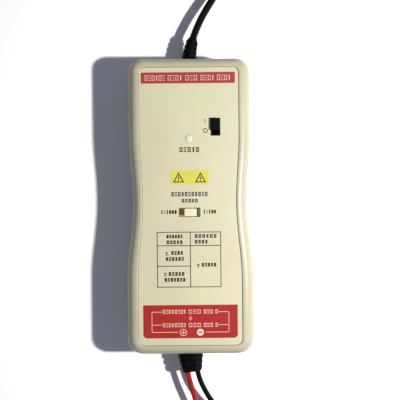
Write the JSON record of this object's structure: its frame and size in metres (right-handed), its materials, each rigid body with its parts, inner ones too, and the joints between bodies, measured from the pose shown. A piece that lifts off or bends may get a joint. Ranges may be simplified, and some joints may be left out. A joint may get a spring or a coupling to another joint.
{
  "type": "differential oscilloscope probe",
  "caption": "Hand-held high-voltage differential probe: waisted case with slide switches, coaxial output cable with a bayonet plug, and red and black input leads with shrouded plugs.",
  "frame": {"origin": "middle of the flat back of the case, on the surface it lies on", "axes": "+X to the right of the front panel, +Y along the case to the output cable, +Z out of the front panel"},
  "size_m": [0.0959, 0.4617, 0.0394],
  "materials": {
    "case_front": "fine moulded texture, satin",
    "case_back": "fine moulded texture, satin",
    "red_print": "printed polyester film",
    "yellow_print": "printed polyester film",
    "black_plastic": "satin moulded",
    "ivory_plastic": "satin moulded",
    "olive_plastic": "satin moulded",
    "milky_lens": "diffused lamp lens",
    "board": "solder mask on glass epoxy",
    "resistor_blue": "lacquered",
    "tin": "tinned steel",
    "chip_black": "moulded epoxy",
    "trimmer_green": "moulded",
    "trimmer_blue": "moulded",
    "capacitor_sleeve": "shrink sleeve with aluminium top",
    "cell_sleeve": "printed sleeve, plain",
    "nickel": "nickel plated",
    "steel_screw": "zinc plated",
    "wire_insulation": "PVC",
    "black_rubber": "soft moulded",
    "black_jacket": "PVC cable jacket, semi-gloss",
    "red_jacket": "silicone lead, semi-gloss",
    "tie_black": "woven hook-and-loop band",
    "white_insulator": "PTFE",
    "gold": "gold plated"
  },
  "bodies": {
    "case": {"top_shell": "case_front", "bottom_shell": "case_back", "output_label": "red_print", "caution_label": "yellow_print", "input_label": "red_print", "power_switch_body": "black_plastic", "ratio_switch_body": "olive_plastic", "power_lamp": "milky_lens", "main_board": "board", "plus_divider": "resistor_blue", "minus_divider": "resistor_blue", "shield_can": "tin", "amplifier_chips": "chip_black", "trim_capacitors": "trimmer_green", "trim_pots": "trimmer_blue", "smoothing_capacitors": "capacitor_sleeve", "power_jack": "black_plastic", "battery_1": "cell_sleeve", "battery_2": "cell_sleeve", "battery_3": "cell_sleeve", "battery_4": "cell_sleeve", "battery_springs": "nickel", "battery_plates": "nickel", "battery_wires": "wire_insulation", "case_screws": "steel_screw", "board_screws": "steel_screw", "coax_tail": "black_jacket", "input_tails": "wire_insulation", "output_relief": "black_rubber", "input_relief": "black_rubber", "coax_cable": "black_jacket", "coax_coil": "black_jacket", "coax_tie": "tie_black", "bnc_boot": "black_rubber", "bnc_body": "nickel", "bnc_insulator": "white_insulator", "bnc_pin": "gold", "red_lead": "red_jacket", "red_coil": "red_jacket", "red_tie": "tie_black", "red_plug": "red_jacket", "red_pin": "nickel", "black_lead": "black_jacket", "black_coil": "black_jacket", "black_tie": "tie_black", "black_plug": "black_jacket", "black_pin": "nickel"},
    "power_knob": {"power_switch_knob": "black_plastic"},
    "ratio_knob": {"ratio_switch_knob": "ivory_plastic"},
    "battery_door": {"battery_door": "case_back"},
    "bnc_collar": {"bnc_collar": "nickel"}
  },
  "joints": [
    {"name": "power_slide", "type": "slide", "parent": "case", "child": "power_knob", "axis": [0, 1, 0], "range_m": [-0.003, 0]},
    {"name": "ratio_slide", "type": "slide", "parent": "case", "child": "ratio_knob", "axis": [1, 0, 0], "range_m": [-0.0027, 0]},
    {"name": "battery_door_slide", "type": "slide", "parent": "case", "child": "battery_door", "axis": [0, 1, 0], "range_m": [0, 0.045]},
    {"name": "bnc_collar_turn", "type": "hinge", "parent": "case", "child": "bnc_collar", "pos_m": [0.041, 0.205, 0.0074], "axis": [0, 1, 0], "continuous": true}
  ]
}
